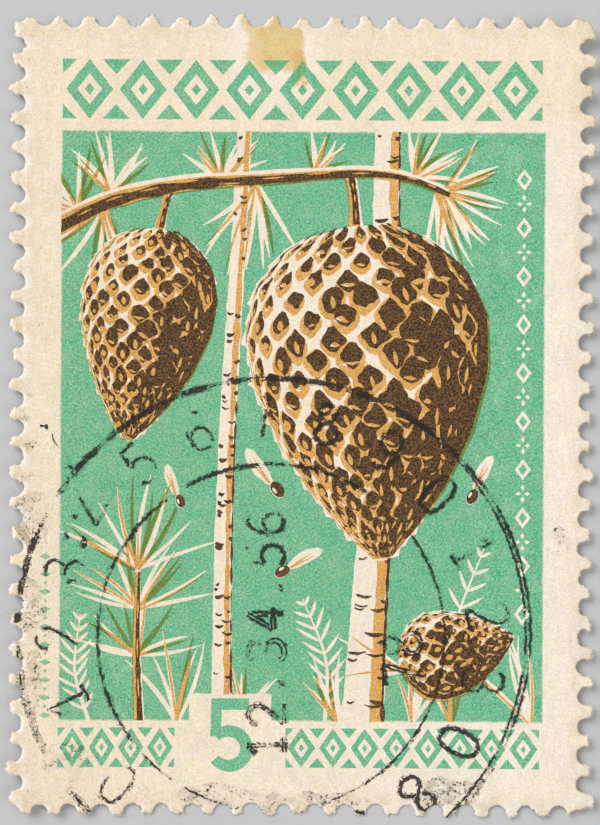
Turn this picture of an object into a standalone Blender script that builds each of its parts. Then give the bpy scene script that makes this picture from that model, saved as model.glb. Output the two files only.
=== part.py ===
"""A used postage stamp: one small sheet of paper, perforated on all four sides.

The sheet lies face up on its gummed back. Its middle is flat, and its sides and two of
its corners have curled up a little since it was soaked off and dried.
+X is the right of the printed face, +Y its top, and +Z points out of the face.
"""

import math
import random
from collections import namedtuple

import bmesh
import bpy
from mathutils import Vector

MM = 0.001

# The perforation: a comb of pins at 13.5 holes in 20 mm along the short sides, and 14 along the long ones.
HOLES_ACROSS = 18
HOLES_DOWN = 26
PITCH_ACROSS = 20 * MM / 13.5
PITCH_DOWN = 20 * MM / 14
PIN_SIDES = 16
PIN_WANDER = 0.06 * MM

# From a corner, where two rows of pins would cross, to the first pin of each row.
LEFT_CORNER_GAP = 1.26 * MM
RIGHT_CORNER_GAP = 1.34 * MM
TOP_CORNER_GAP = 1.42 * MM
BOTTOM_CORNER_GAP = 1.49 * MM

# Between the rows of pins.
WIDTH = LEFT_CORNER_GAP + (HOLES_ACROSS - 1) * PITCH_ACROSS + RIGHT_CORNER_GAP
HEIGHT = BOTTOM_CORNER_GAP + (HOLES_DOWN - 1) * PITCH_DOWN + TOP_CORNER_GAP
THICKNESS = 0.11 * MM

# Where the sheet was torn off, each tooth keeps a stub of paper beyond the row of pins. A tear gives
# the shortest and longest stub, the half widths of the narrowest and widest tip, how far beyond the
# row a tooth's flanks leave the holes, the radius of that side's holes, whose rims wore back with
# handling, and how far in from its place that side's row lies.
Tear = namedtuple("Tear", "shortest longest narrowest widest flank hole sunk")
BOTTOM_TEAR = Tear(0.02 * MM, 0.24 * MM, 0.08 * MM, 0.22 * MM, -0.04 * MM, 0.44 * MM, 0.0)
RIGHT_TEAR = Tear(0.12 * MM, 0.34 * MM, 0.16 * MM, 0.27 * MM, 0.04 * MM, 0.42 * MM, 0.04 * MM)
TOP_TEAR = Tear(0.02 * MM, 0.17 * MM, 0.02 * MM, 0.14 * MM, -0.13 * MM, 0.465 * MM, 0.025 * MM)
LEFT_TEAR = Tear(0.10 * MM, 0.33 * MM, 0.12 * MM, 0.25 * MM, -0.02 * MM, 0.42 * MM, 0.01 * MM)
TEAR_SEED = 58

# The torn corners, as points (distance from the corner, distance beyond the row of pins) along the
# side that ends there, and then along the side that starts there, going anticlockwise.
LOW_LEFT_CORNER = (
    [(0.88 * MM, 0.15 * MM), (0.56 * MM, 0.11 * MM)],
    [(0.18 * MM, -0.42 * MM), (0.52 * MM, -0.08 * MM), (0.70 * MM, 0.03 * MM)],
)
LOW_RIGHT_CORNER = (
    [(0.57 * MM, -0.24 * MM), (0.22 * MM, -0.31 * MM)],
    [(0.40 * MM, 0.16 * MM), (0.32 * MM, 0.33 * MM), (0.62 * MM, 0.43 * MM), (0.94 * MM, 0.39 * MM)],
)
TOP_RIGHT_CORNER = [(0.95 * MM, 0.24 * MM), (0.52 * MM, 0.12 * MM)], [(0.13 * MM, -0.27 * MM), (0.64 * MM, 0.0)]
TOP_LEFT_CORNER = [(0.48 * MM, -0.05 * MM), (0.16 * MM, -0.29 * MM)], [(0.34 * MM, 0.17 * MM), (0.74 * MM, 0.08 * MM)]

# The curl.
FLAT_HALF_WIDTH = 6.0 * MM
SIDE_LIFT = 0.32 * MM
CORNER_REACH = 0.45
CORNER_LIFTS = {(1, 1): 0.42 * MM, (-1, -1): 0.26 * MM}
CURL_STEP = 1.2 * MM
RIM = 0.5 * MM

PAPER_COLOUR = (0.88, 0.76, 0.58, 1.0)
PAPER_ROUGHNESS = 0.85


def clear_scene():
    for old in list(bpy.data.objects):
        bpy.data.objects.remove(old)


def paper_material():
    material = bpy.data.materials.new("aged_stamp_paper")
    material.use_nodes = True
    finish = material.node_tree.nodes["Principled BSDF"]
    finish.inputs["Base Color"].default_value = PAPER_COLOUR
    finish.inputs["Roughness"].default_value = PAPER_ROUGHNESS
    finish.inputs["Metallic"].default_value = 0.0
    material.diffuse_color = PAPER_COLOUR
    return material


def pin_row(first_gap, count, pitch, dice):
    """Distances of a row's pins from the corner that the row starts at."""
    return [first_gap + i * pitch + dice.uniform(-1, 1) * PIN_WANDER for i in range(count)]


def sides(dice):
    """The four sides, anticlockwise from the bottom: start corner, direction, outward direction, pins,
    tear, and the torn points before the first pin and after the last, as (distance along, out)."""
    right, up = Vector((1, 0)), Vector((0, 1))
    low_left = Vector((-WIDTH / 2, -HEIGHT / 2))
    low_right = Vector((WIDTH / 2, -HEIGHT / 2))
    top_left = Vector((-WIDTH / 2, HEIGHT / 2))
    top_right = Vector((WIDTH / 2, HEIGHT / 2))
    across, down = (HOLES_ACROSS, PITCH_ACROSS, dice), (HOLES_DOWN, PITCH_DOWN, dice)

    def side(corner, along, out, length, pins, tear, start, end):
        last = [(length - distance, reach) for distance, reach in end]
        return corner, along, out, pins, tear, start, last

    return [
        side(low_left, right, -up, WIDTH, pin_row(LEFT_CORNER_GAP, *across), BOTTOM_TEAR,
             LOW_LEFT_CORNER[1], LOW_RIGHT_CORNER[0]),
        side(low_right, up, right, HEIGHT, pin_row(BOTTOM_CORNER_GAP, *down), RIGHT_TEAR,
             LOW_RIGHT_CORNER[1], TOP_RIGHT_CORNER[0]),
        side(top_right, -right, up, WIDTH, pin_row(RIGHT_CORNER_GAP, *across), TOP_TEAR,
             TOP_RIGHT_CORNER[1], TOP_LEFT_CORNER[0]),
        side(top_left, -up, -right, HEIGHT, pin_row(TOP_CORNER_GAP, *down), LEFT_TEAR,
             TOP_LEFT_CORNER[1], LOW_LEFT_CORNER[0]),
    ]


def torn_side(pins, tear, first, last, dice):
    """One side's torn outline as (distance along, distance out). It dips into each pin, whose hole takes
    that part away, and leaves a ragged tooth between each pin and the next."""
    flank = math.sqrt(tear.hole**2 - tear.flank**2) * 0.94
    yield from first
    yield pins[0] - flank, tear.flank
    for here, following in zip(pins, pins[1:]):
        reach = dice.uniform(tear.shortest, tear.longest)
        half = dice.uniform(tear.narrowest, tear.widest)
        middle = (here + following) / 2 + dice.uniform(-0.5, 0.5) * (tear.widest - half)
        yield here, 0.0
        yield here + flank, tear.flank
        yield middle - half, reach * dice.uniform(0.55, 1.0)
        yield middle + half * dice.uniform(-0.4, 0.4), reach * dice.uniform(0.9, 1.05)
        yield middle + half, reach * dice.uniform(0.55, 1.0)
        yield following - flank, tear.flank
    yield pins[-1], 0.0
    yield pins[-1] + flank, tear.flank
    yield from last


def torn_sheet(rows, dice):
    """The sheet before its holes: the torn outline, given the paper's thickness."""
    bm = bmesh.new()
    outline = []
    for corner, along, out, pins, tear, first, last in rows:
        for distance, reach in torn_side(pins, tear, first, last, dice):
            place = corner + along * distance + out * (reach - tear.sunk)
            outline.append(bm.verts.new((place.x, place.y, 0)))
    face = bm.faces.new(outline)
    grown = bmesh.ops.extrude_face_region(bm, geom=[face])
    lifted = [item for item in grown["geom"] if isinstance(item, bmesh.types.BMVert)]
    bmesh.ops.translate(bm, verts=lifted, vec=(0, 0, THICKNESS))
    bmesh.ops.recalc_face_normals(bm, faces=bm.faces)
    return bm


def pin_block(rows):
    """The perforator's pins, as one cutter."""
    bm = bmesh.new()
    for corner, along, out, pins, tear, *_ in rows:
        for distance in pins:
            place = corner + along * distance - out * tear.sunk
            made = bmesh.ops.create_cone(
                bm, cap_ends=True, segments=PIN_SIDES,
                radius1=tear.hole, radius2=tear.hole, depth=10 * THICKNESS,
            )
            bmesh.ops.translate(bm, verts=made["verts"], vec=(place.x, place.y, THICKNESS / 2))
    return bm


def new_object(name, bm):
    mesh = bpy.data.meshes.new(name)
    bm.to_mesh(mesh)
    bm.free()
    made = bpy.data.objects.new(name, mesh)
    bpy.context.scene.collection.objects.link(made)
    return made


def curl(x, y):
    """How far the sheet has lifted at a point: nothing in the middle, more towards its sides and corners."""
    side = max(0.0, abs(x) - FLAT_HALF_WIDTH) / (WIDTH / 2 - FLAT_HALF_WIDTH)
    lift = SIDE_LIFT * side**2
    for (right, up), corner_lift in CORNER_LIFTS.items():
        nearness = (right * x / (WIDTH / 2) + up * y / (HEIGHT / 2)) / 2
        lift += corner_lift * (max(0.0, nearness - 1 + CORNER_REACH) / CORNER_REACH) ** 2
    return lift


def curl_sheet(bm):
    """Divides the punched sheet by a grid, so that it can bend, and curls it."""
    for axis, half in ((Vector((1, 0, 0)), WIDTH / 2), (Vector((0, 1, 0)), HEIGHT / 2)):
        cuts = math.floor((half - RIM) / CURL_STEP)
        for i in range(-cuts, cuts + 1):
            everything = bm.verts[:] + bm.edges[:] + bm.faces[:]
            bmesh.ops.bisect_plane(bm, geom=everything, plane_co=axis * i * CURL_STEP, plane_no=axis)
    for vert in bm.verts:
        vert.co.z += curl(vert.co.x, vert.co.y)
    bmesh.ops.triangulate(bm, faces=bm.faces)


def build():
    clear_scene()
    dice = random.Random(TEAR_SEED)
    rows = sides(dice)
    sheet = new_object("stamp_sheet", torn_sheet(rows, dice))
    pins = new_object("pins", pin_block(rows))

    punch = sheet.modifiers.new("punch", "BOOLEAN")
    punch.operation = "DIFFERENCE"
    punch.object = pins
    bpy.context.view_layer.update()
    bm = bmesh.new()
    bm.from_object(sheet, bpy.context.evaluated_depsgraph_get())
    sheet.modifiers.clear()
    bpy.data.objects.remove(pins)

    curl_sheet(bm)
    bm.to_mesh(sheet.data)
    bm.free()
    sheet.data.materials.clear()
    sheet.data.materials.append(paper_material())


build()
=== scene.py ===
import math
import random
from collections import namedtuple

import bmesh
import bpy
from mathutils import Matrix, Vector, noise
from mathutils.geometry import delaunay_2d_cdt
from mathutils.kdtree import KDTree


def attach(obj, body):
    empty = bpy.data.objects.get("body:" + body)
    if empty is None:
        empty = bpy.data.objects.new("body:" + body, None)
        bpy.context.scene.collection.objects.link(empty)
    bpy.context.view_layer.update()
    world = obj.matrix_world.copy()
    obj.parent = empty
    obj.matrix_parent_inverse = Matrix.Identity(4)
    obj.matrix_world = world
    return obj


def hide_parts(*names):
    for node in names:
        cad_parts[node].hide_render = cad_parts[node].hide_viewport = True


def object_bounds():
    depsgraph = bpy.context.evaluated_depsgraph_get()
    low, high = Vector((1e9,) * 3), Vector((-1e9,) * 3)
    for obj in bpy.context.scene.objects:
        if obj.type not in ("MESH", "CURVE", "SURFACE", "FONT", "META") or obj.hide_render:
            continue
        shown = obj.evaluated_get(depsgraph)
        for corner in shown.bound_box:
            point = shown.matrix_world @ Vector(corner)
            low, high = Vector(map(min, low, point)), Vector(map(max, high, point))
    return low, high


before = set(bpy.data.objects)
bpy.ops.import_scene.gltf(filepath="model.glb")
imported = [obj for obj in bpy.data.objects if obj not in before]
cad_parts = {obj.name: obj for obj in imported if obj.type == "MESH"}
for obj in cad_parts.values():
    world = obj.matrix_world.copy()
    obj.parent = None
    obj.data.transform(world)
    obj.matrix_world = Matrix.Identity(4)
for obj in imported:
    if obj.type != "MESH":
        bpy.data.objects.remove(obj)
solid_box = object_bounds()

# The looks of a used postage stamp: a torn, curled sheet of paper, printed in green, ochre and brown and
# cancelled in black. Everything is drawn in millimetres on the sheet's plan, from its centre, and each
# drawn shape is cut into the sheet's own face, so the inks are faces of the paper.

MM = 0.001

# ---------------------------------------------------------------------------------------------------
# The sheet's plan, with the solid's dimensions and its draws of the dice.

HOLES_ACROSS = 18
HOLES_DOWN = 26
PITCH_ACROSS = 20 / 13.5
PITCH_DOWN = 20 / 14
PIN_WANDER = 0.06
LEFT_CORNER_GAP = 1.26
RIGHT_CORNER_GAP = 1.34
TOP_CORNER_GAP = 1.42
BOTTOM_CORNER_GAP = 1.49
WIDTH = LEFT_CORNER_GAP + (HOLES_ACROSS - 1) * PITCH_ACROSS + RIGHT_CORNER_GAP
HEIGHT = BOTTOM_CORNER_GAP + (HOLES_DOWN - 1) * PITCH_DOWN + TOP_CORNER_GAP
THICKNESS = 0.11

Tear = namedtuple("Tear", "shortest longest narrowest widest flank hole sunk")
BOTTOM_TEAR = Tear(0.02, 0.24, 0.08, 0.22, -0.04, 0.44, 0.0)
RIGHT_TEAR = Tear(0.12, 0.34, 0.16, 0.27, 0.04, 0.42, 0.04)
TOP_TEAR = Tear(0.02, 0.17, 0.02, 0.14, -0.13, 0.465, 0.025)
LEFT_TEAR = Tear(0.10, 0.33, 0.12, 0.25, -0.02, 0.42, 0.01)
TEAR_SEED = 58
LOW_LEFT_CORNER = [(0.88, 0.15), (0.56, 0.11)], [(0.18, -0.42), (0.52, -0.08), (0.70, 0.03)]
LOW_RIGHT_CORNER = ([(0.57, -0.24), (0.22, -0.31)],
                    [(0.40, 0.16), (0.32, 0.33), (0.62, 0.43), (0.94, 0.39)])
TOP_RIGHT_CORNER = [(0.95, 0.24), (0.52, 0.12)], [(0.13, -0.27), (0.64, 0.0)]
TOP_LEFT_CORNER = [(0.48, -0.05), (0.16, -0.29)], [(0.34, 0.17), (0.74, 0.08)]

FLAT_HALF_WIDTH = 6.0
SIDE_LIFT = 0.32
CORNER_REACH = 0.45
CORNER_LIFTS = {(1, 1): 0.42, (-1, -1): 0.26}


def pin_row(first_gap, count, pitch, dice):
    return [first_gap + i * pitch + dice.uniform(-1, 1) * PIN_WANDER for i in range(count)]


def sides(dice):
    """The four sides, anticlockwise from the bottom."""
    right, up = Vector((1, 0)), Vector((0, 1))
    low_left, low_right = Vector((-WIDTH / 2, -HEIGHT / 2)), Vector((WIDTH / 2, -HEIGHT / 2))
    top_left, top_right = Vector((-WIDTH / 2, HEIGHT / 2)), Vector((WIDTH / 2, HEIGHT / 2))
    across, down = (HOLES_ACROSS, PITCH_ACROSS, dice), (HOLES_DOWN, PITCH_DOWN, dice)

    def side(corner, along, out, length, pins, tear, start, end):
        last = [(length - distance, reach) for distance, reach in end]
        return corner, along, out, pins, tear, start, last

    return [
        side(low_left, right, -up, WIDTH, pin_row(LEFT_CORNER_GAP, *across), BOTTOM_TEAR,
             LOW_LEFT_CORNER[1], LOW_RIGHT_CORNER[0]),
        side(low_right, up, right, HEIGHT, pin_row(BOTTOM_CORNER_GAP, *down), RIGHT_TEAR,
             LOW_RIGHT_CORNER[1], TOP_RIGHT_CORNER[0]),
        side(top_right, -right, up, WIDTH, pin_row(RIGHT_CORNER_GAP, *across), TOP_TEAR,
             TOP_RIGHT_CORNER[1], TOP_LEFT_CORNER[0]),
        side(top_left, -up, -right, HEIGHT, pin_row(TOP_CORNER_GAP, *down), LEFT_TEAR,
             TOP_LEFT_CORNER[1], LOW_LEFT_CORNER[0]),
    ]


def torn_side(pins, tear, first, last, dice):
    flank = math.sqrt(tear.hole**2 - tear.flank**2) * 0.94
    yield from first
    yield pins[0] - flank, tear.flank
    for here, following in zip(pins, pins[1:]):
        reach = dice.uniform(tear.shortest, tear.longest)
        half = dice.uniform(tear.narrowest, tear.widest)
        middle = (here + following) / 2 + dice.uniform(-0.5, 0.5) * (tear.widest - half)
        yield here, 0.0
        yield here + flank, tear.flank
        yield middle - half, reach * dice.uniform(0.55, 1.0)
        yield middle + half * dice.uniform(-0.4, 0.4), reach * dice.uniform(0.9, 1.05)
        yield middle + half, reach * dice.uniform(0.55, 1.0)
        yield following - flank, tear.flank
    yield pins[-1], 0.0
    yield pins[-1] + flank, tear.flank
    yield from last


def curl(x, y):
    """How far the sheet has lifted at a point."""
    side = max(0.0, abs(x) - FLAT_HALF_WIDTH) / (WIDTH / 2 - FLAT_HALF_WIDTH)
    lift = SIDE_LIFT * side**2
    for (right, up), corner_lift in CORNER_LIFTS.items():
        nearness = (right * x / (WIDTH / 2) + up * y / (HEIGHT / 2)) / 2
        lift += corner_lift * (max(0.0, nearness - 1 + CORNER_REACH) / CORNER_REACH) ** 2
    return lift


# ---------------------------------------------------------------------------------------------------
# Lines and loops on the plan.

THINNEST_STROKE = 0.012


def lerp(a, b, t):
    return a + (b - a) * t


def clamp(value, low=0.0, high=1.0):
    return max(low, min(high, value))


def signed_area(loop):
    """A loop's area, above 0 where the loop runs anticlockwise."""
    return sum(a.x * b.y - b.x * a.y for a, b in zip(loop, loop[1:] + loop[:1])) / 2


def resample(loop, step):
    fine = []
    for a, b in zip(loop, loop[1:] + loop[:1]):
        count = max(1, round((b - a).length / step))
        fine += [a.lerp(b, i / count) for i in range(count)]
    return fine


def with_heading(loop):
    """Each point of a closed loop, with the loop's direction there."""
    neighbours = zip(loop[-1:] + loop[:-1], loop, loop[1:] + loop[:1])
    return [(point, (after - before).normalized()) for before, point, after in neighbours]


def wobble(loop, size, grain, step=0.15):
    """A loop as ink leaves it: its line wanders a little to either side, by up to about half its size."""
    moved = []
    for point, along in with_heading(resample([Vector(p) for p in loop], step)):
        shift = size * noise.noise(Vector((point.x, point.y, 3.7)) * grain)
        moved.append(point + Vector((along.y, -along.x)) * shift)
    return moved


def spline(points, steps):
    """A smooth line through the points."""
    points = [Vector(p) for p in points]
    ends = [2 * points[0] - points[1]] + points + [2 * points[-1] - points[-2]]
    line = []
    for a, b, c, d in zip(ends, ends[1:], ends[2:], ends[3:]):
        for i in range(steps):
            t = i / steps
            line.append(0.5 * (2 * b + (c - a) * t + (2 * a - 5 * b + 4 * c - d) * t**2
                               + (3 * b - 3 * c + d - a) * t**3))
    return line + [points[-1]]


def straight(start, end, steps):
    return [start.lerp(end, i / steps) for i in range(steps + 1)]


def brush(line, half_width):
    """The outline of a brush stroke along a line; half_width goes from its start (0) to its end (1)."""
    runs = [0.0]
    for a, b in zip(line, line[1:]):
        runs.append(runs[-1] + (b - a).length)
    left, right = [], []
    for i, point in enumerate(line):
        along = (line[min(i + 1, len(line) - 1)] - line[max(i - 1, 0)]).normalized()
        side = Vector((-along.y, along.x)) * half_width(runs[i] / runs[-1])
        left.append(point + side)
        right.append(point - side)
    return left + right[::-1]


def taper(start, middle, end):
    """A brush's half width, given at the start, the middle and the end of its stroke."""
    def half_width(t):
        bent = start * (1 - t) * (1 - 2 * t) + middle * 4 * t * (1 - t) + end * t * (2 * t - 1)
        return max(bent, THINNEST_STROKE)
    return half_width


def rhombus(x, y, half_across, half_up):
    return [Vector((x + half_across, y)), Vector((x, y + half_up)),
            Vector((x - half_across, y)), Vector((x, y - half_up))]


def rectangle(left, low, right, top):
    return [Vector((left, low)), Vector((right, low)), Vector((right, top)), Vector((left, top))]


def oval(x, y, half_across, half_up, count):
    turns = [i * math.tau / count for i in range(count)]
    return [Vector((x + half_across * math.cos(turn), y + half_up * math.sin(turn))) for turn in turns]


def placed(x, y, origin, turn, size=1.0):
    """A drawing's point (x, y), once the drawing is turned, sized and moved to its origin."""
    c, s = math.cos(turn), math.sin(turn)
    return Vector((origin[0] + size * (x * c - y * s), origin[1] + size * (x * s + y * c)))


def triangulate(loops, loose=()):
    """Cuts the plane along closed loops: its points, its triangles, where each point came from, and the
    loops that hold each triangle."""
    points, faces = [], []
    for loop in loops:
        faces.append(list(range(len(points), len(points) + len(loop))))
        points += loop if signed_area(loop) > 0 else loop[::-1]
    points += list(loose)
    points, _, triangles, sources, _, holders = delaunay_2d_cdt(points, [], faces, 1, 1e-5, True)
    return points, triangles, sources, holders


def middle_of(points, triangle):
    a, b, c = (points[i] for i in triangle)
    return (a + b + c) / 3


def outer_edge(triangles):
    """The longest loop of the triangles' free edges, anticlockwise."""
    edges = {(t[i], t[(i + 1) % 3]) for t in triangles for i in range(3)}
    following = {a: b for a, b in sorted(edges) if (b, a) not in edges}
    longest = []
    while following:
        start = min(following)
        loop, here = [start], following.pop(start)
        while here != start and here in following:
            loop.append(here)
            here = following.pop(here)
        if len(loop) > len(longest):
            longest = loop
    return longest


def winding(loop, place):
    """How many times a loop goes round a place."""
    turns = 0
    for a, b in zip(loop, loop[1:] + loop[:1]):
        side = (b.x - a.x) * (place.y - a.y) - (place.x - a.x) * (b.y - a.y)
        if a.y <= place.y < b.y and side > 0:
            turns += 1
        elif b.y <= place.y < a.y and side < 0:
            turns -= 1
    return turns


def uncrossed(loop):
    """The outer edge of a loop that may cross itself."""
    points, triangles, _, _ = triangulate([loop])
    kept = [t for t in triangles if winding(loop, middle_of(points, t))]
    return [points[i] for i in outer_edge(kept)]


# ---------------------------------------------------------------------------------------------------
# The printing plates. Ochre and brown were laid a hair out of register with green.

OUT_OF_REGISTER = {"green": Vector((0, 0)), "ochre": Vector((-0.07, -0.05)),
                   "brown": Vector((0.02, 0.03)), "black": Vector((0, 0))}
SMALLEST_SHAPE = 0.004
SHAPE_STEP = 0.6


class Plates:
    """The shapes that each plate prints, or spares where the amount is 0. Later ones lie over earlier."""

    def __init__(self):
        self.shapes = []

    def ink(self, plate, loop, amount=1.0):
        if abs(signed_area(loop)) > SMALLEST_SHAPE:
            clean = resample(uncrossed(loop), SHAPE_STEP)
            self.shapes.append((plate, amount, [point + OUT_OF_REGISTER[plate] for point in clean]))

    def spare(self, loop, *plates):
        for plate in plates:
            self.ink(plate, loop, 0.0)


PANEL = (-11.70, -14.84, 11.75, 13.78)


def draw_panel(plates):
    """The green panel. A faint rim of squeezed ink comes first; it also frames the ochre and the brown."""
    left, low, right, top = PANEL
    for rim, amount in ((0.03, 0.45), (-0.03, 1.0)):
        shape = rectangle(left - rim, low - rim, right + rim, top + rim)
        plates.ink("green", wobble(shape, 0.035, 2.5), amount)


# The pine bough.

CONE_PROFILE = [(0.0, 0.30), (0.06, 0.62), (0.16, 0.88), (0.30, 1.0), (0.46, 0.96), (0.64, 0.78),
                (0.80, 0.53), (0.92, 0.28), (1.0, 0.07)]
QUARTERS = (0, 0.25, 0.5, 0.75, 1)

# The way to the light in the picture.
LIGHT = Vector((-0.78, 0.62))

# One scale of a cone: its place by angle and by share of the length, its half height as a share of the
# length, how brightly it is lit, and a draw of the dice for what makes it unlike the others.
Scale = namedtuple("Scale", "angle along half_along bright chance")


def cone_radius(along):
    for (a, low), (b, high) in zip(CONE_PROFILE, CONE_PROFILE[1:]):
        if along <= b:
            return lerp(low, high, (along - a) / (b - a))
    return CONE_PROFILE[-1][1]


def scales_of(rows, around, across, down, dice):
    """The scales on a cone's near side, row by row."""
    scales = []
    for i, along in enumerate(rows):
        low, high = rows[max(i - 1, 0)], rows[min(i + 1, len(rows) - 1)]
        half_along = (high - low) / (2 if 0 < i < len(rows) - 1 else 1)
        for j in range(-around // 2, around // 2 + 1):
            angle = (j + 0.5 * (i % 2) + 0.15 + dice.uniform(-0.11, 0.11)) * math.tau / around
            if abs(angle) < math.pi / 2 + 0.08:
                facing = across * math.sin(angle) - down * (0.5 - along) * 1.5
                bright = 0.52 + 0.50 * facing.dot(LIGHT) + dice.uniform(-0.14, 0.14)
                shifted = along + dice.uniform(-0.14, 0.14) * half_along
                height = half_along * dice.uniform(0.88, 1.15)
                scales.append(Scale(angle, shifted, height, clamp(bright), dice.random()))
    return scales


def pine_cone(plates, root, tip, widest, around, seed):
    """A closed pine cone: brown shields in an ochre net, which is bare paper towards the light."""
    root, tip = Vector(root), Vector(tip)
    length = (tip - root).length
    down = (tip - root).normalized()
    across = Vector((-down.y, down.x))
    lit_side = -1 if across.dot(LIGHT) < 0 else 1
    row_gap = math.pi * widest / around / length
    rows = [0.02]
    while rows[-1] < 0.985:
        rows.append(rows[-1] + row_gap * (0.36 + 0.64 * cone_radius(rows[-1])))
    scales = scales_of(rows, around, across, down, random.Random(seed))

    def place(angle, along):
        angle, along = clamp(angle, -math.pi / 2, math.pi / 2), clamp(along)
        return root + down * length * along + across * widest * cone_radius(along) * math.sin(angle)

    def on(scale, sideways, upward):
        """A point of a scale, in its own half widths and half heights."""
        return place(scale.angle + sideways * math.pi / around, scale.along + upward * scale.half_along)

    def side_line(way):
        """The cone's outline on one side, notched where one scale ends over the next."""
        line = []
        for i, (start, end) in enumerate(zip(rows, rows[1:])):
            for t, stands_out in ((0.15, 0.05), (0.5, 0.11), (0.85, 0.17), (1.0, 0.06)):
                along = min(1.0, lerp(start, end, t))
                out = widest * 0.2 * stands_out * (1 + 0.5 * (i % 2)) + 0.03
                line.append(place(way * math.pi / 2, along) + across * way * out)
        return line

    def shield(scale, size, shift_sideways, shift_upward, uneven):
        """A rounded lozenge on the cone's surface, no two alike."""
        loop = []
        for i in range(14):
            turn = math.tau * (i + 0.5) / 14
            a, b = math.cos(turn), math.sin(turn)
            stretch = size * (abs(a) ** 1.3 + abs(b) ** 1.3) ** (-1 / 1.3)
            stretch *= 1 + uneven * noise.noise(Vector((a * 1.1, b * 1.1, scale.chance * 90)))
            loop.append(on(scale, a * stretch + shift_sideways, b * stretch + shift_upward))
        return loop

    def lip(scale, size, start, end, thick):
        """A crescent along the free end of a scale."""
        upper, lower = [], []
        for i in range(7):
            a = lerp(start, end, i / 6)
            b = 0.62 - 0.42 * abs(a) ** 1.4
            swell = thick * math.sin(math.pi * (i + 0.25) / 6.5)
            upper.append(on(scale, a * size, (b - swell) * size))
            lower.append(on(scale, a * size, b * size))
        return upper + lower[::-1]

    outline = side_line(-1) + [tip + down * 0.1] + side_line(1)[::-1] + [root - down * 0.1]
    plates.spare(wobble(outline, 0.04, 2.0), "green", "ochre", "brown")
    for scale in scales:
        size = lerp(1.30, 0.66, scale.bright ** 0.8)
        net = shield(scale, size, -0.06 * lit_side * scale.bright, 0.14 * scale.bright, 0.2)
        plates.ink("ochre", wobble(net, 0.04, 3.0))
    shade = [place(-lit_side * math.pi / 2 * 0.97, t / 40) for t in range(3, 39)]
    plates.ink("ochre", brush(shade, taper(0.03, widest * 0.09, 0.03)))
    for scale in scales:
        bright, chance = scale.bright, scale.chance
        size = lerp(1.03, 0.47, bright ** 1.1) * lerp(0.88, 1.1, chance)
        plates.ink("brown", wobble(shield(scale, size, 0.0, -0.04, 0.46), 0.06, 3.4))
        kind, turn = (chance * 17) % 1, (chance * 7) % 1
        if kind >= 0.88 or bright + 0.25 * chance < 0.12 or math.cos(scale.angle) < 0.15:
            continue
        if kind < 0.5:
            middle = lerp(-0.4, 0.3, turn) + 0.12 * lit_side
            half = lerp(0.34, 0.66, (chance * 41) % 1)
            thick = lerp(0.18, 0.46, bright) * lerp(0.6, 1.25, (chance * 29) % 1)
            plates.spare(lip(scale, size, middle - half, middle + half, thick), "brown")
            if bright > 0.55 and kind < 0.4:
                glint = lip(scale, size * 1.05, middle - half, middle + half * 0.5, thick * 0.85)
                plates.spare(glint, "ochre")
        else:
            start = on(scale, lerp(-0.25, 0.1, turn), -0.22 * size)
            end = on(scale, lerp(-0.2, 0.25, turn), 0.62 * size)
            widths = taper(0.02, 0.06 + 0.10 * bright * lerp(0.6, 1.2, chance), 0.05)
            plates.spare(brush(straight(start, end, 5), widths), "brown")
    plates.ink("brown", brush(shade, taper(0.02, widest * 0.05, 0.02)))


def needle(plates, root, heading, length, dice, kind):
    """One needle: bare paper, bare paper with ochre down its lit side, or dark, in ochre over the green."""
    bend = dice.uniform(-0.22, 0.22)
    line = []
    for i in range(7):
        t = i / 6
        turn = heading + bend * t
        line.append(root + Vector((math.cos(turn), math.sin(turn))) * length * t)
    thick = dice.uniform(0.085, 0.12)
    stroke = brush(line, taper(thick * 0.75, thick, 0.02))
    if kind == "dark":
        plates.ink("ochre", stroke)
    else:
        plates.spare(stroke, "green")
    if kind == "lit":
        side = Vector((math.sin(heading), -math.cos(heading))) * thick * 0.9
        plates.ink("ochre", brush([p + side for p in line], taper(thick * 0.5, thick * 0.6, 0.015)))


def spray(plates, root, heading, spread, count, length, seed):
    """A fan of needles from one point of a twig."""
    dice = random.Random(seed)
    for i in range(count):
        share = (i + 0.5) / count - 0.5
        turn = heading + spread * share + dice.uniform(-0.08, 0.08)
        reach = length * dice.uniform(0.78, 1.08) * (1 - 0.18 * abs(share))
        kind = dice.choice(["bare", "bare", "lit", "dark"])
        needle(plates, Vector(root), turn, reach, dice, kind)


def wood(plates, points, half_width):
    """A twig: bare on top, ochre below and brown in its shade."""
    def in_shade(t):
        return half_width(t) * (0.58 + 0.25 * noise.noise(Vector((t * 17, 1, 2))))

    line = spline(points, 8)
    plates.spare(brush(line, half_width), "green", "ochre", "brown")
    under = [p + Vector((0.0, -0.10)) for p in line]
    plates.ink("ochre", brush(under, lambda t: half_width(t) * 0.86))
    shade = [p + Vector((0.02, -0.17)) for p in line]
    plates.ink("brown", brush(shade, in_shade))
    for i in range(3, len(line) - 4, 4):
        lift = half_width(i / len(line)) * 0.9 * noise.noise(Vector((i * 0.7, 4, 2)))
        fleck = [p + Vector((0.0, lift - 0.08)) for p in line[i:i + 3]]
        plates.spare(brush(fleck, taper(0.012, 0.045, 0.012)), "brown")


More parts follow.
